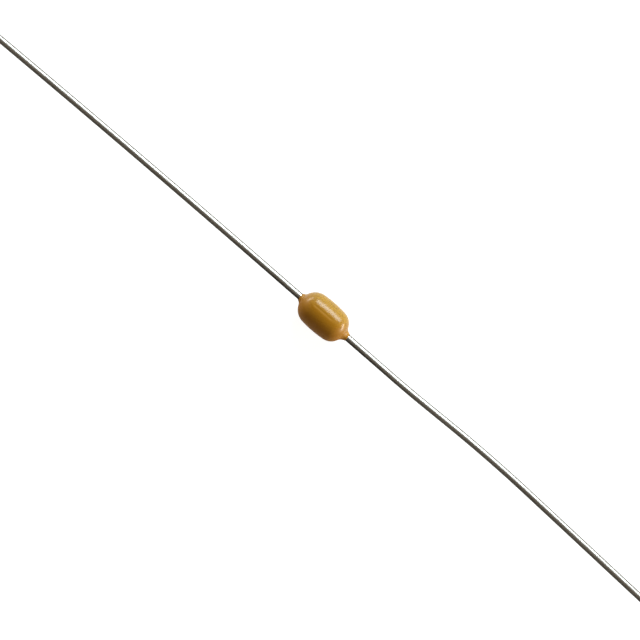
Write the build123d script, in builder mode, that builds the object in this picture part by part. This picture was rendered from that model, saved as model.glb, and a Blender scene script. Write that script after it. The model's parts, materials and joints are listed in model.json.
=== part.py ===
from build123d import *
import os
from math import asin, cos, sin, sqrt

# Axial-lead ceramic capacitor: a multilayer ceramic chip between two nail-headed
# wires, dipped in epoxy.
#
# Millimetres. X runs along the leads, Z is up and both leads are level.
# The origin is the middle of the body, on its axis.

# ---------------------------------------------------------------- chip
chip_length = 2.0  # along X, ceramic only
chip_width = 1.4  # along Y
chip_height = 1.1  # along Z, the way the plates are stacked
chip_edge_round = 0.08  # on the four long edges

# electrode plates, alternately joined to the left and the right end
plates_per_end = 6
plate_thickness = 0.02
plate_end_gap = 0.30  # ceramic left between a plate and the far end
plate_side_gap = 0.20  # ceramic left beside a plate
cover_layer = 0.15  # blank ceramic above the top plate and below the bottom one

# fired silver caps on the chip's ends
termination_thickness = 0.04
termination_band = 0.35  # how far a cap wraps onto the chip's sides

# ---------------------------------------------------------------- leads
wire_diameter = 0.51
lead_reach = 32.0  # from the middle of the part to each cut end

head_diameter = 1.0  # nail head, upset on the end of the wire
head_thickness = 0.20
head_rim_bevel = 0.04
head_neck_flare = 0.12  # cone from the head's back down to the wire

# left lead: straight beside the body, then one long shallow sweep
left_straight = 5.0  # from the middle of the part
left_sweep_radius = 1300.0
left_sweep_angle = 0.97

# right lead: straight, a slight rise, and a longer fall back past the axis
right_straight = 6.5
right_rise_radius = 90.0
right_rise_angle = 1.9
right_rise_straight = 2.1
right_fall_radius = 111.0
right_fall_angle = 3.8

# ---------------------------------------------------------------- solder
solder_film = 0.05  # between a cap and its nail head
solder_foot = 0.07  # how far the fillet spreads past the head's rim
solder_climb = 0.10  # how far it climbs the rim

# ---------------------------------------------------------------- epoxy coating
# The body is a round barrel with round ends.
side_cover = 0.52  # epoxy beside the caps, at mid length
barrel_bow = 8.35  # radius of the slight swell along the barrel
left_shoulder_setback = 0.17  # how far each shoulder lies inside its cap's outer face
right_shoulder_setback = 0.0
left_end_round = 1.20
right_end_round = 1.04
left_meniscus_round = 0.41  # hollow where the epoxy draws out onto each wire
right_meniscus_round = 0.57
meniscus_foot = 0.02  # epoxy over the wire where a meniscus would run out level
left_meniscus_stop = 0.15  # how far short of that it ends, in a blunt lip
right_meniscus_stop = 0.13

# ---------------------------------------------------------------- worked out from these
wire_radius = wire_diameter / 2
head_radius = head_diameter / 2
cap_face_x = chip_length / 2 + termination_thickness
head_face_x = cap_face_x + solder_film

cap_half_width = chip_width / 2 + termination_thickness
cap_half_height = chip_height / 2 + termination_thickness
barrel_radius = cap_half_width + side_cover
foot_radius = wire_radius + meniscus_foot

plate_length = chip_length - plate_end_gap
plate_width = chip_width - 2 * plate_side_gap
plate_count = 2 * plates_per_end
lowest_plate_z = -chip_height / 2 + cover_layer + plate_thickness / 2
plate_pitch = -2 * lowest_plate_z / (plate_count - 1)

sides = {"left": -1, "right": 1}
pieces = {}


def keep(name, piece):
    """Label a finished piece and put it with the others."""
    piece.label = name
    pieces[name] = piece


# ---------------------------------------------------------------- electrode plates
for number in range(plate_count):
    side = "left" if number % 2 == 0 else "right"
    plate_x = sides[side] * plate_end_gap / 2
    plate_z = lowest_plate_z + number * plate_pitch
    with BuildPart(Plane.XY.offset(plate_z)) as electrode:
        with Locations((plate_x, 0)):
            Box(plate_length, plate_width, plate_thickness)
    keep(f"{side}_electrode_{number // 2 + 1}", electrode.part)

# ---------------------------------------------------------------- ceramic
with BuildPart() as chip_blank:
    Box(chip_length, chip_width, chip_height)
    fillet(chip_blank.edges().filter_by(Axis.X), chip_edge_round)

with BuildPart() as ceramic_chip:
    add(chip_blank.part)
    for plate in list(pieces.values()):
        add(plate, mode=Mode.SUBTRACT)
keep("ceramic_chip", ceramic_chip.part)

# ---------------------------------------------------------------- end caps
for side, sign in sides.items():
    cap_length = termination_band + termination_thickness
    with BuildPart() as termination:
        Box(
            chip_length + 2 * termination_thickness,
            chip_width + 2 * termination_thickness,
            chip_height + 2 * termination_thickness,
        )
        fillet(termination.edges().filter_by(Axis.X), chip_edge_round + termination_thickness)
        with Locations((sign * (cap_face_x - cap_length / 2), 0, 0)):
            Box(cap_length, 2 * cap_half_width, 2 * cap_half_height, mode=Mode.INTERSECT)
        add(chip_blank.part, mode=Mode.SUBTRACT)
    keep(f"{side}_termination", termination.part)


# ---------------------------------------------------------------- leads
def lead_path(side):
    """The centre line of one lead, from its nail head to well past the cut end."""
    with BuildLine() as path:
        if side == "left":
            beside_body = Line((-head_face_x, 0), (-left_straight, 0))
            last_bend = JernArc(beside_body @ 1, beside_body % 1, left_sweep_radius, left_sweep_angle)
        else:
            beside_body = Line((head_face_x, 0), (right_straight, 0))
            rise = JernArc(beside_body @ 1, beside_body % 1, right_rise_radius, right_rise_angle)
            slope = Line(rise @ 1, rise @ 1 + (rise % 1) * right_rise_straight)
            last_bend = JernArc(slope @ 1, slope % 1, right_fall_radius, -right_fall_angle)
        Line(last_bend @ 1, last_bend @ 1 + (last_bend % 1) * lead_reach)
    return path.line


for side, sign in sides.items():
    path = lead_path(side)
    outward = Plane(origin=(sign * head_face_x, 0, 0), z_dir=(sign, 0, 0))
    cut_end = Plane(origin=(sign * lead_reach, 0, 0), z_dir=(sign, 0, 0))
    with BuildPart() as lead:
        with BuildSketch(outward):
            Circle(wire_radius)
        sweep(path=path)
        split(bisect_by=cut_end, keep=Keep.BOTTOM)
        with BuildSketch(outward):
            Circle(head_radius)
        extrude(amount=head_thickness)
        head_circles = lead.edges().filter_by(GeomType.CIRCLE).filter_by_position(
            Axis.X, sign * head_face_x - head_thickness, sign * head_face_x + head_thickness
        )
        rims = head_circles.filter_by(lambda edge: edge.radius > (wire_radius + head_radius) / 2)
        neck = head_circles.filter_by(lambda edge: edge.radius < (wire_radius + head_radius) / 2)
        chamfer(rims, head_rim_bevel)
        chamfer(neck, head_neck_flare)
    keep(f"{side}_lead", lead.part)

# ---------------------------------------------------------------- solder
solder_radius = head_radius + solder_foot
solder_top_x = head_face_x + solder_climb
for side, sign in sides.items():
    with BuildPart() as solder:
        with BuildSketch():
            with BuildLine():
                foot = (sign * cap_face_x, solder_radius)
                top = (sign * solder_top_x, head_radius)
                Polyline((sign * solder_top_x, 0), (sign * cap_face_x, 0), foot)
                TangentArc(top, foot, tangent=(-sign, 0))
                Line(top, (sign * solder_top_x, 0))
            make_face()
        revolve(axis=Axis.X)
        add(pieces[f"{side}_lead"], mode=Mode.SUBTRACT)
    keep(f"{side}_solder", solder.part)


# ---------------------------------------------------------------- epoxy coating
shoulder_setbacks = {"left": left_shoulder_setback, "right": right_shoulder_setback}
end_rounds = {"left": left_end_round, "right": right_end_round}
meniscus_rounds = {"left": left_meniscus_round, "right": right_meniscus_round}
meniscus_stops = {"left": left_meniscus_stop, "right": right_meniscus_stop}

with BuildPart() as epoxy_coating:
    with BuildSketch():
        with BuildLine():
            shoulders = []
            lips = []
            for side, sign in sides.items():
                end_round, meniscus_round = end_rounds[side], meniscus_rounds[side]
                shoulder_x = cap_face_x - shoulder_setbacks[side]
                shoulder_slope = asin(shoulder_x / barrel_bow)
                shoulder_radius = barrel_radius - barrel_bow * (1 - cos(shoulder_slope))
                # middles of the two arcs, the dome's and the meniscus's, which touch at the join
                dome_x = shoulder_x - end_round * sin(shoulder_slope)
                dome_y = shoulder_radius - end_round * cos(shoulder_slope)
                hollow_y = foot_radius + meniscus_round
                hollow_x = dome_x + sqrt((end_round + meniscus_round) ** 2 - (hollow_y - dome_y) ** 2)
                reach = end_round / (end_round + meniscus_round)
                join = (
                    sign * (dome_x + reach * (hollow_x - dome_x)),
                    dome_y + reach * (hollow_y - dome_y),
                )
                stop = meniscus_stops[side]
                lip = (sign * (hollow_x - stop), hollow_y - sqrt(meniscus_round**2 - stop**2))
                outward = (sign * cos(shoulder_slope), -sin(shoulder_slope))
                dome = TangentArc((sign * shoulder_x, shoulder_radius), join, tangent=outward)
                meniscus = TangentArc(join, lip, tangent=dome % 1)
                shoulders.append(dome @ 0)
                lips.append(meniscus @ 1)
            ThreePointArc(shoulders[0], (0, barrel_radius), shoulders[1])
            Polyline(lips[0], (lips[0].X, 0), (lips[1].X, 0), lips[1])
        make_face()
    revolve(axis=Axis.X)
    add(chip_blank.part, mode=Mode.SUBTRACT)
    for side in sides:
        for inner in ("termination", "solder", "lead"):
            add(pieces[f"{side}_{inner}"], mode=Mode.SUBTRACT)
keep("epoxy_coating", epoxy_coating.part)

# ---------------------------------------------------------------- files
os.makedirs("parts", exist_ok=True)
for name, piece in pieces.items():
    export_step(piece, f"parts/{name}.step")
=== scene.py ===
"""Axial ceramic capacitor: a dipped epoxy body with a bare tinned lead out of each end, on a pale bench."""

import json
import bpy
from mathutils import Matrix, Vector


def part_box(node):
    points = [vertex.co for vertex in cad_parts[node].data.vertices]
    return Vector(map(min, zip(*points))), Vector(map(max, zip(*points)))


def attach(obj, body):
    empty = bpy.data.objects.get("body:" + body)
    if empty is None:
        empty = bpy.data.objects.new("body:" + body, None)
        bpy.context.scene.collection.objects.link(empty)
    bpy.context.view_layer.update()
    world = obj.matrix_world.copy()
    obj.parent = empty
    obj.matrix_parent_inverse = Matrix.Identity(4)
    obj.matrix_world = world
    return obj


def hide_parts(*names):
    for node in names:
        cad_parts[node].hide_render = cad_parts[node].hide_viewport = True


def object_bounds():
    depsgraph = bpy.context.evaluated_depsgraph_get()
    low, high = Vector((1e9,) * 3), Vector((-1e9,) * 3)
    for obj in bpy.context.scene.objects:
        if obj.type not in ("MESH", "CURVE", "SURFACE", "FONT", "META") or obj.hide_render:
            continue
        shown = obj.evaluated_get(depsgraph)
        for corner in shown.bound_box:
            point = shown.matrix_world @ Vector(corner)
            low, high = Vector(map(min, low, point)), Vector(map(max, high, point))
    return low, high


bl_info = {
    "name": "Axial Ceramic Capacitor",
    "version": (1, 0, 0),
    "blender": (4, 5, 0),
    "location": "3D View > Sidebar > Capacitor",
    "description": "Models and finishes a dipped axial ceramic capacitor and sets up its bench",
    "category": "Add Mesh",
}

from math import asin, atan2, cos, exp, pi, radians, sin, sqrt

import bpy
from bpy.props import FloatProperty, FloatVectorProperty, IntProperty, PointerProperty
from bpy.types import Operator, Panel, PropertyGroup

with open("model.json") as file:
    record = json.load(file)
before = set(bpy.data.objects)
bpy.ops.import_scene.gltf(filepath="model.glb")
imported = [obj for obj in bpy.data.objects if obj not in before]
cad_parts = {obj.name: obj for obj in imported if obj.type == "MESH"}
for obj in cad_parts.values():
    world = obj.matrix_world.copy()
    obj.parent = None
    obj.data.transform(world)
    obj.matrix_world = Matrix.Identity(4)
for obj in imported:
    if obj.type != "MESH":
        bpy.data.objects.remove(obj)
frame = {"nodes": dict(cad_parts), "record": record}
cad_low, cad_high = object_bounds()
coating_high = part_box("epoxy_coating")[1]
cap_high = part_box("right_termination")[1]
lead_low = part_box("right_lead")[0]
MOUNTS = {mount["name"]: mount for mount in frame["record"]["mounts"]}

MM = 0.001
WIRE_RADIUS = MOUNTS["left_lead_end"]["dims"]["r_mm"] * MM
SIDES = {"left": -1, "right": 1}


# ---------------------------------------------------------------- sizes and colours
class CoatingSizes(PropertyGroup):
    """The outline of the dipped body, turned about the lead's axis."""

    radius: FloatProperty(
        name="Radius",
        description="Body radius at mid length",
        default=coating_high.y,
        unit="LENGTH",
        precision=5,
    )
    bow: FloatProperty(
        name="Bow",
        description="Radius of the slight swell along the barrel",
        default=8.35 * MM,
        unit="LENGTH",
        precision=5,
    )
    left_setback: FloatProperty(
        name="Left Setback",
        description="How far the left shoulder lies inside its cap's face",
        default=0.17 * MM,
        unit="LENGTH",
        precision=5,
    )
    right_setback: FloatProperty(
        name="Right Setback",
        description="How far the right shoulder lies inside its cap's face",
        default=0.0,
        unit="LENGTH",
        precision=5,
    )
    left_dome: FloatProperty(
        name="Left Dome",
        description="Radius that closes the left end",
        default=1.20 * MM,
        unit="LENGTH",
        precision=5,
    )
    right_dome: FloatProperty(
        name="Right Dome",
        description="Radius that closes the right end",
        default=1.04 * MM,
        unit="LENGTH",
        precision=5,
    )
    left_meniscus: FloatProperty(
        name="Left Meniscus",
        description="Hollow where the epoxy draws out onto the left lead",
        default=0.41 * MM,
        unit="LENGTH",
        precision=5,
    )
    right_meniscus: FloatProperty(
        name="Right Meniscus",
        description="Hollow where the epoxy draws out onto the right lead",
        default=0.57 * MM,
        unit="LENGTH",
        precision=5,
    )
    foot: FloatProperty(
        name="Foot",
        description="Epoxy over the wire where a meniscus would run out level",
        default=0.02 * MM,
        unit="LENGTH",
        precision=6,
    )
    left_stop: FloatProperty(
        name="Left Stop",
        description="How far short of that the left meniscus ends",
        default=0.15 * MM,
        unit="LENGTH",
        precision=5,
    )
    right_stop: FloatProperty(
        name="Right Stop",
        description="How far short of that the right meniscus ends",
        default=0.13 * MM,
        unit="LENGTH",
        precision=5,
    )
    ridge_angle: FloatProperty(
        name="Ridge Angle",
        description="Crest of the faint ridge along the top, from straight up",
        default=radians(3.4),
        unit="ROTATION",
    )
    groove_angle: FloatProperty(
        name="Groove Angle",
        description="Bottom of the faint groove beside the ridge",
        default=radians(10.6),
        unit="ROTATION",
    )
    ridge_spread: FloatProperty(
        name="Ridge Spread",
        description="How far around the body the ridge and the groove each fade out",
        default=radians(3.6),
        unit="ROTATION",
    )
    ridge_height: FloatProperty(
        name="Ridge Height",
        description="Height of the ridge over the barrel",
        default=0.002 * MM,
        unit="LENGTH",
        precision=7,
    )
    groove_depth: FloatProperty(
        name="Groove Depth",
        description="Depth of the groove under the barrel",
        default=0.014 * MM,
        unit="LENGTH",
        precision=7,
    )
    ridge_middle: FloatProperty(
        name="Ridge Middle",
        description="Place of the middle of the ridge along the body",
        default=-0.15 * MM,
        unit="LENGTH",
        precision=5,
    )
    ridge_reach: FloatProperty(
        name="Ridge Reach",
        description="From the middle of the ridge to each of its ends",
        default=0.95 * MM,
        unit="LENGTH",
        precision=5,
    )
    segments: IntProperty(name="Segments", description="Faces around the body", default=288, min=24)


class LeadSizes(PropertyGroup):
    """The two bare leads: wire, nail head and cut end."""

    radius: FloatProperty(
        name="Wire Radius",
        description="Radius of the bare wire",
        default=WIRE_RADIUS,
        unit="LENGTH",
        precision=6,
    )
    reach: FloatProperty(
        name="Reach",
        description="From the middle of the part to each cut end",
        default=cad_high.x,
        unit="LENGTH",
        precision=5,
    )
    head_radius: FloatProperty(
        name="Head Radius",
        description="Radius of the nail head soldered to a cap",
        default=0.5 * MM,
        unit="LENGTH",
        precision=5,
    )
    head_thickness: FloatProperty(
        name="Head Thickness",
        description="Thickness of the nail head",
        default=0.2 * MM,
        unit="LENGTH",
        precision=5,
    )
    head_bevel: FloatProperty(
        name="Head Bevel",
        description="Bevel on both rims of the nail head",
        default=0.04 * MM,
        unit="LENGTH",
        precision=5,
    )
    head_flare: FloatProperty(
        name="Head Flare",
        description="Cone from the nail head's back down to the wire",
        default=0.12 * MM,
        unit="LENGTH",
        precision=5,
    )
    head_face: FloatProperty(
        name="Head Face",
        description="From the middle of the part to each nail head's face",
        default=lead_low.x,
        unit="LENGTH",
        precision=5,
    )
    cut_bevel: FloatProperty(
        name="Cut Bevel",
        description="Edge rolled over by the cutter at the free ends",
        default=0.03 * MM,
        unit="LENGTH",
        precision=6,
    )
    step: FloatProperty(
        name="Step",
        description="Length of the wire's faces",
        default=0.8 * MM,
        unit="LENGTH",
        precision=5,
    )
    segments: IntProperty(name="Segments", description="Faces around the wire", default=48, min=12)


class Finishes(PropertyGroup):
    """Colours of the pieces."""

    epoxy: FloatVectorProperty(
        name="Epoxy",
        description="Ochre of the dipped coating",
        subtype="COLOR",
        size=3,
        default=(0.372, 0.196, 0.010),
    )
    # painted shade: the darker, redder colour painted on the coating's -Y side
    epoxy_painted_shade: FloatVectorProperty(
        name="Deep Epoxy",
        description="Coating where it is richest in pigment",
        subtype="COLOR",
        size=3,
        default=(0.36, 0.155, 0.007),
    )
    tin: FloatVectorProperty(
        name="Tin",
        description="Plating of the leads",
        subtype="COLOR",
        size=3,
        default=(0.56, 0.54, 0.50),
    )
    # painted shade: the colour of the dark reflection painted along the sides of the leads
    painted_shade: FloatVectorProperty(
        name="Painted Shade",
        description="Dull side of the leads",
        subtype="COLOR",
        size=3,
        default=(0.09, 0.08, 0.064),
    )
    ceramic: FloatVectorProperty(
        name="Ceramic",
        description="Fired chip",
        subtype="COLOR",
        size=3,
        default=(0.46, 0.33, 0.22),
    )
    silver: FloatVectorProperty(
        name="Silver",
        description="Fired end caps",
        subtype="COLOR",
        size=3,
        default=(0.72, 0.70, 0.66),
    )
    plates: FloatVectorProperty(
        name="Plates",
        description="Electrode plates in the chip",
        subtype="COLOR",
        size=3,
        default=(0.48, 0.47, 0.45),
    )
    solder: FloatVectorProperty(
        name="Solder",
        description="Joint between a cap and its nail head",
        subtype="COLOR",
        size=3,
        default=(0.62, 0.61, 0.60),
    )


class StageSizes(PropertyGroup):
    """Camera, lamps and bench."""

    view_turn: FloatProperty(
        name="View Turn",
        description="Turn of the camera about the upright",
        default=radians(41.1),
        unit="ROTATION",
    )
    view_width: FloatProperty(
        name="View Width",
        description="Width of the bench that the camera takes in",
        default=44.8 * MM,
        unit="LENGTH",
        precision=5,
    )
    view_aim: FloatVectorProperty(
        name="View Aim",
        description="Point under the camera",
        subtype="XYZ",
        size=3,
        default=(0.007 * MM, -0.328 * MM, 0.0),
        precision=6,
    )
    lens: FloatProperty(name="Lens", description="Focal length in millimetres", default=100.0, min=1.0)
    lamp_distance: FloatProperty(
        name="Lamp Distance",
        description="From the part to every lamp",
        default=0.30,
        unit="LENGTH",
    )
    key_slant: FloatProperty(
        name="Key Slant",
        description="Softbox's angle from straight up",
        default=radians(57),
        unit="ROTATION",
    )
    key_turn: FloatProperty(
        name="Key Turn",
        description="Softbox's turn about the upright from +X",
        default=radians(92.3),
        unit="ROTATION",
    )
    key_width: FloatProperty(
        name="Key Width",
        description="Softbox's side along the leads",
        default=0.246,
        unit="LENGTH",
    )
    key_height: FloatProperty(
        name="Key Height",
        description="Softbox's other side",
        default=0.135,
        unit="LENGTH",
    )
    key_radiance: FloatProperty(
        name="Key Radiance",
        description="Brightness of the softbox's face",
        default=9.8,
    )
    key_colour: FloatVectorProperty(
        name="Key Colour",
        description="Daylight of the softbox and its strip",
        subtype="COLOR",
        size=3,
        default=(0.80, 0.94, 1.0),
    )
    low_slant: FloatProperty(
        name="Low Slant",
        description="Angle from straight up of the low strip lamp under the softbox",
        default=radians(77),
        unit="ROTATION",
    )
    low_width: FloatProperty(
        name="Low Width",
        description="Low strip's side along the leads",
        default=0.66,
        unit="LENGTH",
    )
    low_height: FloatProperty(
        name="Low Height",
        description="Low strip's other side",
        default=0.12,
        unit="LENGTH",
    )
    low_radiance: FloatProperty(
        name="Low Radiance",
        description="Brightness of the low strip's face",
        default=0.6,
    )
    side_turn: FloatProperty(
        name="Side Turn",
        description="How far the end lamps stand round towards the softbox",
        default=radians(22),
        unit="ROTATION",
    )
    side_slant: FloatProperty(
        name="Side Slant",
        description="Angle of the end lamps from straight up",
        default=radians(82),
        unit="ROTATION",
    )
    side_width: FloatProperty(
        name="Side Width",
        description="Level side of each end lamp",
        default=0.21,
        unit="LENGTH",
    )
    left_height: FloatProperty(
        name="Left Height",
        description="Other side of the lamp past the left end",
        default=0.06,
        unit="LENGTH",
    )
    right_height: FloatProperty(
        name="Right Height",
        description="Other side of the lamp past the right end",
        default=0.102,
        unit="LENGTH",
    )
    left_radiance: FloatProperty(
        name="Left Radiance",
        description="Brightness of the lamp past the left end",
        default=9.0,
    )
    right_radiance: FloatProperty(
        name="Right Radiance",
        description="Brightness of the lamp past the right end",
        default=13.0,
    )
    side_colour: FloatVectorProperty(
        name="Side Colour",
        description="Warmer light of the end lamps",
        subtype="COLOR",
        size=3,
        default=(1.0, 0.94, 0.84),
    )
    bench_size: FloatProperty(
        name="Bench Size",
        description="Side of the bench top",
        default=4.0,
        unit="LENGTH",
    )


# ---------------------------------------------------------------- modelling helpers
def deselect_all():
    """Leave nothing selected, because an operator acts on all that is."""
    for thing in list(bpy.context.selected_objects):
        thing.select_set(False)


def add_ring(name, segments, radius, x):
    """A ring about the X axis, open for editing, all selected and ready to be extruded."""
    deselect_all()
    bpy.ops.mesh.primitive_circle_add(
        vertices=segments, radius=radius, fill_type="NOTHING", location=(x, 0, 0), rotation=(0, pi / 2, 0)
    )
    piece = bpy.context.active_object
    piece.name = piece.data.name = name
    bpy.ops.object.transform_apply(location=True, rotation=True, scale=True)
    bpy.ops.object.mode_set(mode="EDIT")
    return piece


def extrude_ring(stations):
    """Extrude the selected ring from the first station (x, y, radius) to each of the others."""
    for here, there in zip(stations, stations[1:]):
        bpy.ops.mesh.extrude_region_move(
            TRANSFORM_OT_translate={"value": (there[0] - here[0], there[1] - here[1], 0)}
        )
        if there[2] != here[2]:
            grow = there[2] / here[2]
            bpy.ops.transform.resize(value=(1, grow, grow), center_override=(there[0], there[1], 0))


def close_piece(crease):
    """Fill the open ends, point the faces outwards and smooth all edges but those sharper than the crease."""
    bpy.ops.mesh.select_all(action="SELECT")
    bpy.ops.mesh.fill_holes(sides=0)
    bpy.ops.mesh.select_all(action="SELECT")
    bpy.ops.mesh.normals_make_consistent(inside=False)
    bpy.ops.object.mode_set(mode="OBJECT")
    bpy.ops.object.shade_smooth_by_angle(angle=crease)


def arc(centre_x, centre_y, radius, start, end, steps):
    """Points along an arc from one angle to another, the first left out."""
    turns = [start + (end - start) * step / steps for step in range(1, steps + 1)]
    return [(centre_x + radius * cos(turn), centre_y + radius * sin(turn)) for turn in turns]


def ramp(value, low, high):
    """0 below the low limit, 1 above the high one and in proportion between them."""
    return min(1.0, max(0.0, (value - low) / (high - low)))


def give_finish(piece, material):
    """Put one material in place of all that the piece has."""
    piece.data.materials.clear()
    piece.data.materials.append(material)


# ---------------------------------------------------------------- coating
BARREL_STEPS, DOME_STEPS, MENISCUS_STEPS, LIP_STEPS = 14, 26, 16, 5
COATING_CREASE = radians(60)
RIDGE_FADE = 4  # the ridge and the groove run out over the last quarter of their reach
LEAST_SHARE = exp(-9)  # of their height, past which there is nothing to see


def half_outline(sizes, setback, dome, meniscus, stop):
    """Outline of the right half of the body, from mid length out onto the wire, as (x, radius)."""
    shoulder = cap_high.x - setback
    slope = asin(shoulder / sizes.bow)
    # middles of the dome's arc and of the meniscus's, which touch where they meet
    dome_x = shoulder - dome * sin(slope)
    dome_y = sizes.radius - sizes.bow * (1 - cos(slope)) - dome * cos(slope)
    hollow_y = WIRE_RADIUS + sizes.foot + meniscus
    hollow_x = dome_x + sqrt((dome + meniscus) ** 2 - (hollow_y - dome_y) ** 2)
    lean = atan2(hollow_y - dome_y, hollow_x - dome_x)
    stop_turn = 1.5 * pi - asin(stop / meniscus)
    outline = arc(0, sizes.radius - sizes.bow, sizes.bow, pi / 2, pi / 2 - slope, BARREL_STEPS)
    outline += arc(dome_x, dome_y, dome, pi / 2 - slope, lean, DOME_STEPS)
    outline += arc(hollow_x, hollow_y, meniscus, pi + lean, stop_turn, MENISCUS_STEPS)
    # the lip rolls over and ends a hair above the wire
    lip_x, lip_y = outline[-1]
    roll = 0.9 * (lip_y - WIRE_RADIUS)
    hair = 0.02 * roll
    outline += arc(lip_x, lip_y - roll, roll, pi / 2, 0, LIP_STEPS)[:-1]
    outline.append((lip_x + roll, WIRE_RADIUS + hair))
    return outline


def raise_ridge(piece, sizes):
    """Raise the faint ridge along the top, where the coating ran, and sink the groove beside it."""
    for name, angle, height in (
        ("ridge", sizes.ridge_angle, sizes.ridge_height),
        ("groove", sizes.groove_angle, -sizes.groove_depth),
    ):
        band = piece.vertex_groups.new(name=name)
        for vertex in piece.data.vertices:
            x, y, z = vertex.co
            off = (atan2(y, z) - angle) / sizes.ridge_spread
            along = RIDGE_FADE * (1 - abs(x - sizes.ridge_middle) / sizes.ridge_reach)
            share = exp(-off * off) * ramp(along, 0, 1)
            if share > LEAST_SHARE:
                band.add([vertex.index], share, "REPLACE")
        push = piece.modifiers.new(name, "DISPLACE")
        push.vertex_group = name
        push.mid_level = 0
        push.strength = height
        bpy.ops.object.modifier_apply(modifier=push.name)


class CAPACITOR_OT_coating(Operator):
    """Model the dipped epoxy body with its domed ends and menisci"""

    bl_idname = "capacitor.coating"
    bl_label = "Dipped Coating"

    def execute(self, context):
        sizes = context.scene.capacitor_coating
        left = half_outline(sizes, sizes.left_setback, sizes.left_dome, sizes.left_meniscus, sizes.left_stop)
        right = half_outline(
            sizes, sizes.right_setback, sizes.right_dome, sizes.right_meniscus, sizes.right_stop
        )
        stations = [(-x, 0, radius) for x, radius in reversed(left)]
        stations.append((0, 0, sizes.radius))
        stations += [(x, 0, radius) for x, radius in right]
        coating = add_ring("dipped_coating", sizes.segments, stations[0][2], stations[0][0])
        extrude_ring(stations)
        close_piece(COATING_CREASE)
        raise_ridge(coating, sizes)
        give_finish(coating, epoxy_material(context.scene.capacitor_finishes))
        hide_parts("epoxy_coating")
        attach(coating, "root")
        return {"FINISHED"}


# ---------------------------------------------------------------- leads
# Each lead's way from the middle of the part: straight stretches as (length in mm, 0) and bends as
# (radius in mm, turn in degrees). A straight one follows to the cut end.
LEAD_ROUTES = {
    "left": ((5.0, 0), (1300.0, 0.97)),
    "right": ((6.5, 0), (90.0, 1.9), (2.1, 0), (111.0, -3.8)),
}
LEAD_CREASE = radians(30)
MOUNT_SLACK = 0.02 * MM  # how far a cut end may stand from its mount's line

# Where the wires get painted shade, a dark reflection painted along their sides, as turns about the centre
# line from straight up.
DARK_SIDE_STARTS = (radians(24), radians(40))  # towards -Y
DARK_SIDE_ENDS = (radians(80), radians(98))
FAR_SIDE_STARTS = (radians(40), radians(52))  # towards +Y, down to the underside
FAR_SIDE_SHARE = 0.9


def lead_line(side, sizes):
    """Points along one lead's centre line, from the middle of the part to its cut end."""
    x = y = heading = 0.0
    points = [(x, y)]
    for size, degrees in LEAD_ROUTES[side]:
        turn = radians(degrees)
        length = size * MM * (abs(turn) if turn else 1)
        count = max(1, round(length / sizes.step))
        for _ in range(count):
            x += length / count * cos(heading + turn / count / 2)
            y += length / count * sin(heading + turn / count / 2)
            heading += turn / count
            points.append((x, y))
    rest_x = sizes.reach - x
    rest_y = rest_x * sin(heading) / cos(heading)
    count = round(rest_x / cos(heading) / sizes.step)
    points += [(x + rest_x * part / count, y + rest_y * part / count) for part in range(1, count + 1)]
    # both are laid out towards +X, and the left one is then turned half round
    sign = SIDES[side]
    return [(sign * px, sign * py) for px, py in points]


def lead_stations(side, sizes):
    """Stations (x, y, radius) along one lead, from its nail head's face to its cut end."""
    sign = SIDES[side]
    wire, head, bevel, flare = sizes.radius, sizes.head_radius, sizes.head_bevel, sizes.head_flare
    face = sizes.head_face
    back = face + sizes.head_thickness
    stations = [
        (sign * face, 0, head - bevel),
        (sign * (face + bevel), 0, head),
        (sign * (back - bevel), 0, head),
        (sign * back, 0, head - bevel),
        (sign * back, 0, wire + flare),
        (sign * (back + flare), 0, wire),
    ]
    line = [(x, y) for x, y in lead_line(side, sizes) if abs(x) > back + 2 * flare]
    end_x, end_y = line.pop()
    stations += [(x, y, wire) for x, y in line]
    stations.append((end_x - sign * sizes.cut_bevel, end_y, wire))
    stations.append((end_x, end_y, wire - sizes.cut_bevel))
    return stations


def check_mount(side, end_x, end_y):
    """Stop if a lead's cut end isn't on the line of its mount."""
    mount = MOUNTS[f"{side}_lead_end"]
    aim_x, aim_y = mount["axis"][:2]
    mount_y = mount["pos_m"][1] + (end_x - mount["pos_m"][0]) * aim_y / aim_x
    if abs(mount_y - end_y) > MOUNT_SLACK:
        raise RuntimeError(f"the {side} lead ends {abs(mount_y - end_y) / MM:.3f} mm off its mount")


def mark_painted_shade(lead, stations):
    """Give each vertex its shares of painted shade, a dark reflection painted along the wire, by its turn
    about the centre line, and none on the cut end.
    """
    hair = 0.001 * MM
    cut = max(abs(vertex.co.x) for vertex in lead.data.vertices) - hair
    shares = {"painted_shade": [], "dark_side": []}
    for vertex in lead.data.vertices:
        x, y, z = vertex.co
        nearest = min(stations, key=lambda station: abs(station[0] - x))
        turn = atan2(nearest[1] - y, z)
        dark = min(ramp(turn, *DARK_SIDE_STARTS), 1 - ramp(turn, *DARK_SIDE_ENDS))
        far = FAR_SIDE_SHARE * ramp(-turn, *FAR_SIDE_STARTS)
        if abs(x) > cut:
            dark = far = 0.0  # no painted shade on the cut end
        shares["painted_shade"].append(max(dark, far))
        shares["dark_side"].append(dark)
    for name, values in shares.items():
        lead.data.attributes.new(name, "FLOAT", "POINT").data.foreach_set("value", values)


class CAPACITOR_OT_leads(Operator):
    """Model both bare leads with their slight bow, nail heads and cut ends"""

    bl_idname = "capacitor.leads"
    bl_label = "Bare Leads"

    def execute(self, context):
        sizes = context.scene.capacitor_leads
        tin = tin_material(context.scene.capacitor_finishes)
        for side in SIDES:
            stations = lead_stations(side, sizes)
            lead = add_ring(f"{side}_wire", sizes.segments, stations[0][2], stations[0][0])
            extrude_ring(stations)
            close_piece(LEAD_CREASE)
            check_mount(side, *stations[-1][:2])
            mark_painted_shade(lead, stations)
            give_finish(lead, tin)
            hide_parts(f"{side}_lead")
            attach(lead, "root")
        return {"FINISHED"}


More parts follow.
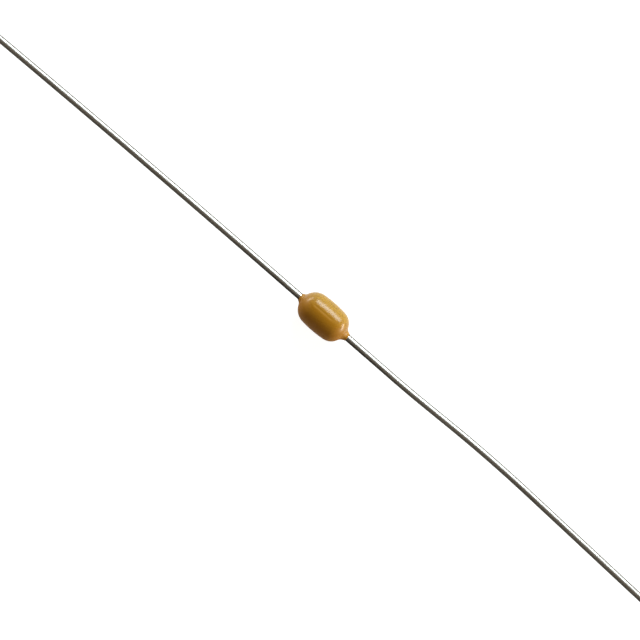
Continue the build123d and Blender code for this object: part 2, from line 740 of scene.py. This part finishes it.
# ---------------------------------------------------------------- material helpers
CLOUD_SPAN = (0.3, 0.7)  # where the clouds and the grain have nearly all of their values


def new_material(name):
    """An empty node material and its tree."""
    material = bpy.data.materials.new(name)
    material.use_nodes = True
    material.node_tree.nodes.clear()
    return material, material.node_tree


def add_node(tree, kind, x, y, **settings):
    """A node at a place in the tree, with its plain settings and its unlinked inputs set."""
    node = tree.nodes.new(kind)
    node.location = (x, y)
    for key, value in settings.items():
        if key in node.inputs:
            node.inputs[key].default_value = value
        else:
            setattr(node, key, value)
    return node


def add_math(tree, operation, x, y, *values):
    """The result of a Math node that is fed by sockets and plain numbers."""
    node = add_node(tree, "ShaderNodeMath", x, y, operation=operation)
    for socket, value in zip(node.inputs, values):
        if isinstance(value, (int, float)):
            socket.default_value = value
        else:
            tree.links.new(value, socket)
    return node.outputs[0]


def add_mix(tree, kind, mask, x, y):
    """A Mix node for colours (RGBA) or numbers (FLOAT), led by a mask: its two inputs and its result."""
    node = add_node(tree, "ShaderNodeMix", x, y, data_type=kind)
    tree.links.new(mask, node.inputs["Factor"])
    sort = "RGBA" if kind == "RGBA" else "VALUE"
    first, second = [socket for socket in node.inputs if socket.type == sort and socket.name in ("A", "B")]
    result = next(socket for socket in node.outputs if socket.type == sort)
    return first, second, result


def spread(tree, source, values, span, x, y):
    """Turn a span of the source's values into a range of others, held at both ends."""
    node = add_node(tree, "ShaderNodeMapRange", x, y)
    tree.links.new(source, node.inputs["Value"])
    node.inputs["From Min"].default_value, node.inputs["From Max"].default_value = span
    node.inputs["To Min"].default_value, node.inputs["To Max"].default_value = values
    return node.outputs["Result"]


def split_place(tree, coordinates, x, y):
    """The X, Y and Z of the place that is shaded, in the coordinates asked for."""
    where = add_node(tree, "ShaderNodeTexCoord", x, y)
    parts = add_node(tree, "ShaderNodeSeparateXYZ", x + 200, y)
    tree.links.new(where.outputs[coordinates], parts.inputs[0])
    return parts.outputs


def mottle_group():
    """Node group: soft cloudy mottling and a fine grain, both on millimetres of the piece."""
    name = "cloud and grain"
    if name in bpy.data.node_groups:
        return bpy.data.node_groups[name]
    group = bpy.data.node_groups.new(name, "ShaderNodeTree")
    face = group.interface
    for socket, value in (("Cloud Scale", 1.0), ("Grain Scale", 12.0), ("Stretch", 1.0)):
        face.new_socket(socket, in_out="INPUT", socket_type="NodeSocketFloat").default_value = value
    for socket in ("Cloud", "Grain"):
        face.new_socket(socket, in_out="OUTPUT", socket_type="NodeSocketFloat")
    entry = add_node(group, "NodeGroupInput", -900, 0)
    leave = add_node(group, "NodeGroupOutput", 500, 0)
    where = add_node(group, "ShaderNodeTexCoord", -700, 300)
    squeeze = add_node(group, "ShaderNodeCombineXYZ", -500, -100, Y=1 / MM, Z=1 / MM)
    scaled = add_node(group, "ShaderNodeMapping", -300, 150)
    link = group.links.new
    link(add_math(group, "DIVIDE", -700, -100, 1 / MM, entry.outputs["Stretch"]), squeeze.inputs["X"])
    link(where.outputs["Object"], scaled.inputs["Vector"])
    link(squeeze.outputs[0], scaled.inputs["Scale"])
    for pattern, detail, roughness, y in (("Cloud", 3.0, 0.5, 250), ("Grain", 4.0, 0.6, -100)):
        noise = add_node(group, "ShaderNodeTexNoise", 0, y, Detail=detail, Roughness=roughness)
        link(scaled.outputs[0], noise.inputs["Vector"])
        link(entry.outputs[f"{pattern} Scale"], noise.inputs["Scale"])
        link(noise.outputs[0], leave.inputs[pattern])
    return group


def add_mottle(tree, cloud_scale, grain_scale, stretch, x, y):
    """The mottle group in a material, with scales per millimetre and its stretch along X."""
    mottle = add_node(tree, "ShaderNodeGroup", x, y)
    mottle.node_tree = mottle_group()
    mottle.inputs["Cloud Scale"].default_value = cloud_scale
    mottle.inputs["Grain Scale"].default_value = grain_scale
    mottle.inputs["Stretch"].default_value = stretch
    return mottle


def shade(colour, factor):
    """A colour made darker by a factor."""
    return tuple(channel * factor for channel in colour)


def mottled_material(name, colour, cloud_shade, roughness, grain_depth, scales, metallic=0.0):
    """A finish that darkens a little in clouds, with a fine grain in its roughness and surface."""
    material, tree = new_material(name)
    mottle = add_mottle(tree, *scales, -900, 0)
    clouds = spread(tree, mottle.outputs["Cloud"], (0.0, 1.0), CLOUD_SPAN, -650, 200)
    plain, cloudy, tint = add_mix(tree, "RGBA", clouds, -400, 200)
    plain.default_value = (*colour, 1)
    cloudy.default_value = (*shade(colour, cloud_shade), 1)
    rough = spread(tree, mottle.outputs["Grain"], roughness, CLOUD_SPAN, -400, -50)
    bump = add_node(tree, "ShaderNodeBump", -400, -300, Strength=1.0, Distance=grain_depth)
    surface = add_node(tree, "ShaderNodeBsdfPrincipled", 300, 0, Metallic=metallic, IOR=1.5)
    finish = add_node(tree, "ShaderNodeOutputMaterial", 600, 0)
    link = tree.links.new
    link(mottle.outputs["Grain"], bump.inputs["Height"])
    link(tint, surface.inputs["Base Color"])
    link(rough, surface.inputs["Roughness"])
    link(bump.outputs[0], surface.inputs["Normal"])
    link(surface.outputs[0], finish.inputs["Surface"])
    return material, surface


def mix_in(tree, mask, surface, socket, value, x, y):
    """Blend what a socket is linked to towards a colour or a number, where the mask is 1."""
    is_number = isinstance(value, float)
    first, second, result = add_mix(tree, "FLOAT" if is_number else "RGBA", mask, x, y)
    tree.links.new(surface.inputs[socket].links[0].from_socket, first)
    second.default_value = value if is_number else (*value, 1)
    tree.links.new(result, surface.inputs[socket])


# ---------------------------------------------------------------- finishes
def epoxy_material(finishes):
    """Glossy dipped epoxy with painted shade: darker and redder towards -Y, and duller there too."""
    painted_shade_span = (0.0, 0.9 * MM)  # Y where the painted shade is full, and where it starts
    dull_span = (-1.0 * MM, -0.45 * MM)  # Y at mid length where it is all dull, and where it starts to be
    widening = 0.45  # how far the dull side's edge moves towards +Y, for each step along X
    widest = 1.6 * MM  # distance from mid length past which it widens no more
    dull_roughness = 0.6
    dull_specular, glossy_specular = 0.22, 0.42
    material, surface = mottled_material(
        "dipped epoxy", finishes.epoxy, 0.92, (0.22, 0.27), 0.0010 * MM, (1.1, 9.0, 1.0)
    )
    tree = material.node_tree
    place = split_place(tree, "Object", -900, -500)
    from_middle = add_math(tree, "ABSOLUTE", -500, -450, place["X"])
    shoulder = add_math(tree, "MINIMUM", -300, -450, from_middle, widest)
    lean = add_math(tree, "MULTIPLY_ADD", -100, -450, shoulder, -widening, place["Y"])
    painted_shade_mask = spread(tree, place["Y"], (1.0, 0.0), painted_shade_span, -300, -700)
    dull = spread(tree, lean, (1.0, 0.0), dull_span, 100, -400)
    specular = spread(tree, lean, (dull_specular, glossy_specular), dull_span, 100, -650)
    surface.inputs["Specular IOR Level"].default_value = glossy_specular
    tree.links.new(specular, surface.inputs["Specular IOR Level"])
    mix_in(tree, dull, surface, "Roughness", dull_roughness, -100, -50)
    # painted shade: the -Y side of the coating painted darker and redder
    mix_in(tree, painted_shade_mask, surface, "Base Color", tuple(finishes.epoxy_painted_shade), -100, 200)
    return material


def tin_material(finishes):
    """Drawn tin with painted shade: a dark reflection painted along the sides of the wires, darkest on the -Y
    side near the body and in patches.
    """
    painted_shade_roughness = 0.5
    deepest_shade = 0.35
    body_span = (4.0 * MM, 11.0 * MM)  # distance from mid length over which the darkest painted shade fades
    patch_share = 0.5  # the most of it that there is past that
    material, surface = mottled_material(
        "drawn tinned wire", finishes.tin, 0.9, (0.34, 0.42), 0.0003 * MM, (3.0, 16.0, 30.0), 1.0
    )
    tree = material.node_tree
    painted_shade = add_node(tree, "ShaderNodeAttribute", -400, 450, attribute_name="painted_shade").outputs["Fac"]
    dark_side = add_node(tree, "ShaderNodeAttribute", -100, 500, attribute_name="dark_side").outputs["Fac"]
    from_middle = add_math(tree, "ABSOLUTE", -700, 900, split_place(tree, "Object", -1100, 900)["X"])
    beside_body = spread(tree, from_middle, (1.0, 0.0), body_span, -500, 900)
    clouds = add_mottle(tree, 0.9, 16.0, 2.0, -700, 650).outputs["Cloud"]
    patches = spread(tree, clouds, (0.0, patch_share), CLOUD_SPAN, -500, 650)
    depth = add_math(tree, "MAXIMUM", -300, 800, beside_body, patches)
    deepest = add_math(tree, "MULTIPLY", -100, 800, depth, dark_side)
    # paint the dark reflection along the wires' sides, then the darkest painted shade on the -Y side near the
    # body
    mix_in(tree, painted_shade, surface, "Base Color", tuple(finishes.painted_shade), -100, 200)
    mix_in(tree, painted_shade, surface, "Roughness", painted_shade_roughness, -100, -50)
    mix_in(tree, deepest, surface, "Base Color", shade(finishes.painted_shade, deepest_shade), 100, 200)
    return material


class CAPACITOR_OT_insides(Operator):
    """Give the chip, plates, caps and solder inside the coating their finishes"""

    bl_idname = "capacitor.insides"
    bl_label = "Chip, Caps and Solder"

    def execute(self, context):
        colours = context.scene.capacitor_finishes
        # the word in a node's name, and its finish as mottled_material takes it
        finishes = {
            "chip": ("fired ceramic", colours.ceramic, 0.84, (0.42, 0.62), 0.001 * MM, (2.4, 30.0, 1.0), 0.0),
            "electrode": (
                "electrode plate", colours.plates, 0.8, (0.35, 0.5), 0.0004 * MM, (4.0, 40.0, 1.0), 1.0
            ),
            "termination": (
                "fired silver", colours.silver, 0.85, (0.38, 0.55), 0.001 * MM, (3.0, 26.0, 1.0), 1.0
            ),
            "solder": ("soft solder", colours.solder, 0.8, (0.2, 0.36), 0.001 * MM, (5.0, 18.0, 1.0), 1.0),
        }
        for word, finish in finishes.items():
            material = mottled_material(*finish)[0]
            for name, node in frame["nodes"].items():
                if word in name:
                    give_finish(node, material)
        return {"FINISHED"}


# ---------------------------------------------------------------- stage
SENSOR_WIDTH = 36.0  # millimetres, as the lens is


def backdrop_share(tree, x, y):
    """1 for the rays that see the backdrop: straight, in a gloss or through glass."""
    path = add_node(tree, "ShaderNodeLightPath", x, y).outputs
    either = add_math(tree, "MAXIMUM", x + 200, y, path["Is Camera Ray"], path["Is Glossy Ray"])
    return add_math(tree, "MAXIMUM", x + 400, y, either, path["Is Transmission Ray"])


def bench_material():
    """Pale bench: a dim matt surface that takes shadows, under an even white."""
    matt_grey = 0.45
    white_level = 0.88
    material, tree = new_material("pale bench")
    matt = add_node(tree, "ShaderNodeBsdfDiffuse", 0, 150, Color=(matt_grey, matt_grey, matt_grey, 1))
    glow = add_node(tree, "ShaderNodeEmission", 0, -50)
    level = add_math(tree, "MULTIPLY", -200, -50, backdrop_share(tree, -900, -50), white_level)
    both = add_node(tree, "ShaderNodeAddShader", 200, 50)
    finish = add_node(tree, "ShaderNodeOutputMaterial", 400, 50)
    tree.links.new(level, glow.inputs["Strength"])
    tree.links.new(matt.outputs[0], both.inputs[0])
    tree.links.new(glow.outputs[0], both.inputs[1])
    tree.links.new(both.outputs[0], finish.inputs["Surface"])
    return material


def studio_world():
    """Dim warm room with a glow past both ends of the part. It is white where it is seen straight, and a
    gloss shows it white near the bench and towards +Y."""
    warm = (1.0, 0.80, 0.60, 1)
    room_light = (0.11, 0.8)  # across the leads, and along them
    room_span = (0.45, 0.95)  # along X
    white_span = (0.08, 0.14)  # up Z, fading out
    side_share, side_span = (0.0, 0.8), (0.1, 0.8)  # along Y
    world = bpy.data.worlds.new("dim studio")
    world.use_nodes = True
    tree = world.node_tree
    tree.nodes.clear()
    facing = split_place(tree, "Generated", -1300, 0)
    path = add_node(tree, "ShaderNodeLightPath", -1100, -300).outputs
    room = spread(tree, add_math(tree, "ABSOLUTE", -900, 0, facing["X"]), room_light, room_span, -700, 100)
    horizon = spread(tree, facing["Z"], (1.0, 0.0), white_span, -900, -500)
    lit_side = spread(tree, facing["Y"], side_share, side_span, -900, -750)
    wall = add_math(tree, "MAXIMUM", -700, -600, horizon, lit_side)
    mirrored = add_math(tree, "MAXIMUM", -900, -300, path["Is Glossy Ray"], path["Is Transmission Ray"])
    pale = add_math(tree, "MULTIPLY", -700, -300, mirrored, wall)
    seen = add_math(tree, "MAXIMUM", -500, -300, pale, path["Is Camera Ray"])
    dim = add_node(tree, "ShaderNodeBackground", -300, 100, Color=warm)
    white = add_node(tree, "ShaderNodeBackground", -300, -100, Color=(1, 1, 1, 1), Strength=1.0)
    either = add_node(tree, "ShaderNodeMixShader", 0, 0)
    finish = add_node(tree, "ShaderNodeOutputWorld", 200, 0)
    tree.links.new(room, dim.inputs["Strength"])
    tree.links.new(seen, either.inputs[0])
    tree.links.new(dim.outputs[0], either.inputs[1])
    tree.links.new(white.outputs[0], either.inputs[2])
    tree.links.new(either.outputs[0], finish.inputs["Surface"])
    return world


def place_bench(size):
    """Lay the bench under the part."""
    deselect_all()
    bpy.ops.mesh.primitive_plane_add(size=size, location=(0, 0, cad_low.z))
    bench = bpy.context.active_object
    bench.name = bench.data.name = "bench"
    bench.data.materials.append(bench_material())


def add_softbox(name, slant, turn, distance, width, height, radiance, colour):
    """A rectangular lamp that faces the part, by its slant from straight up and its turn from +X."""
    out, up = distance * sin(slant), distance * cos(slant)
    deselect_all()
    bpy.ops.object.light_add(
        type="AREA", location=(out * cos(turn), out * sin(turn), up), rotation=(slant, 0, turn + pi / 2)
    )
    lamp = bpy.context.active_object
    lamp.name = lamp.data.name = name
    lamp.data.shape = "RECTANGLE"
    lamp.data.size = width
    lamp.data.size_y = height
    lamp.data.color = colour
    lamp.data.energy = radiance * pi * width * height


def place_camera(stage):
    """Hang the camera over the part, looking straight down."""
    deselect_all()
    bpy.ops.object.camera_add(
        location=(stage.view_aim[0], stage.view_aim[1], stage.view_width * stage.lens / SENSOR_WIDTH),
        rotation=(0, 0, stage.view_turn),
    )
    camera = bpy.context.active_object
    camera.name = camera.data.name = "overhead_camera"
    camera.data.sensor_width = SENSOR_WIDTH
    camera.data.lens = stage.lens
    camera.data.clip_start = 1 * MM
    bpy.context.scene.camera = camera


class CAPACITOR_OT_stage(Operator):
    """Set the camera over the part, with its bench, room and lamps"""

    bl_idname = "capacitor.stage"
    bl_label = "Bench, Lamps and Camera"

    def execute(self, context):
        stage = context.scene.capacitor_stage
        place_bench(stage.bench_size)
        context.scene.world = studio_world()
        softbox = (stage.key_width, stage.key_height, stage.key_radiance, stage.key_colour)
        strip = (stage.low_width, stage.low_height, stage.low_radiance, stage.key_colour)
        right = (stage.side_width, stage.right_height, stage.right_radiance, stage.side_colour)
        left = (stage.side_width, stage.left_height, stage.left_radiance, stage.side_colour)
        add_softbox("key_softbox", stage.key_slant, stage.key_turn, stage.lamp_distance, *softbox)
        add_softbox("low_strip", stage.low_slant, pi / 2, stage.lamp_distance, *strip)
        add_softbox("right_end_lamp", stage.side_slant, stage.side_turn, stage.lamp_distance, *right)
        add_softbox("left_end_lamp", stage.side_slant, pi - stage.side_turn, stage.lamp_distance, *left)
        place_camera(stage)
        context.scene.view_settings.view_transform = "Standard"
        return {"FINISHED"}


# ---------------------------------------------------------------- sidebar
class CAPACITOR_PT_sidebar(Panel):
    """Buttons for the pieces and the stage"""

    bl_label = "Axial Ceramic Capacitor"
    bl_idname = "CAPACITOR_PT_sidebar"
    bl_space_type = "VIEW_3D"
    bl_region_type = "UI"
    bl_category = "Capacitor"

    def draw(self, context):
        column = self.layout.column()
        for operator in OPERATORS:
            column.operator(operator.bl_idname)


OPERATORS = (CAPACITOR_OT_coating, CAPACITOR_OT_leads, CAPACITOR_OT_insides, CAPACITOR_OT_stage)
GROUPS = {
    "capacitor_coating": CoatingSizes,
    "capacitor_leads": LeadSizes,
    "capacitor_finishes": Finishes,
    "capacitor_stage": StageSizes,
}


def register():
    """Add the sizes and colours to the scene, and the buttons to the sidebar."""
    for name, group in GROUPS.items():
        bpy.utils.register_class(group)
        setattr(bpy.types.Scene, name, PointerProperty(type=group))
    for item in (*OPERATORS, CAPACITOR_PT_sidebar):
        bpy.utils.register_class(item)


def unregister():
    """Take away all that register adds."""
    for item in (CAPACITOR_PT_sidebar, *reversed(OPERATORS)):
        bpy.utils.unregister_class(item)
    for name, group in GROUPS.items():
        delattr(bpy.types.Scene, name)
        bpy.utils.unregister_class(group)


def main():
    """Make every piece and the stage."""
    register()
    bpy.ops.capacitor.coating()
    bpy.ops.capacitor.leads()
    bpy.ops.capacitor.insides()
    bpy.ops.capacitor.stage()


if __name__ == "__main__":
    main()
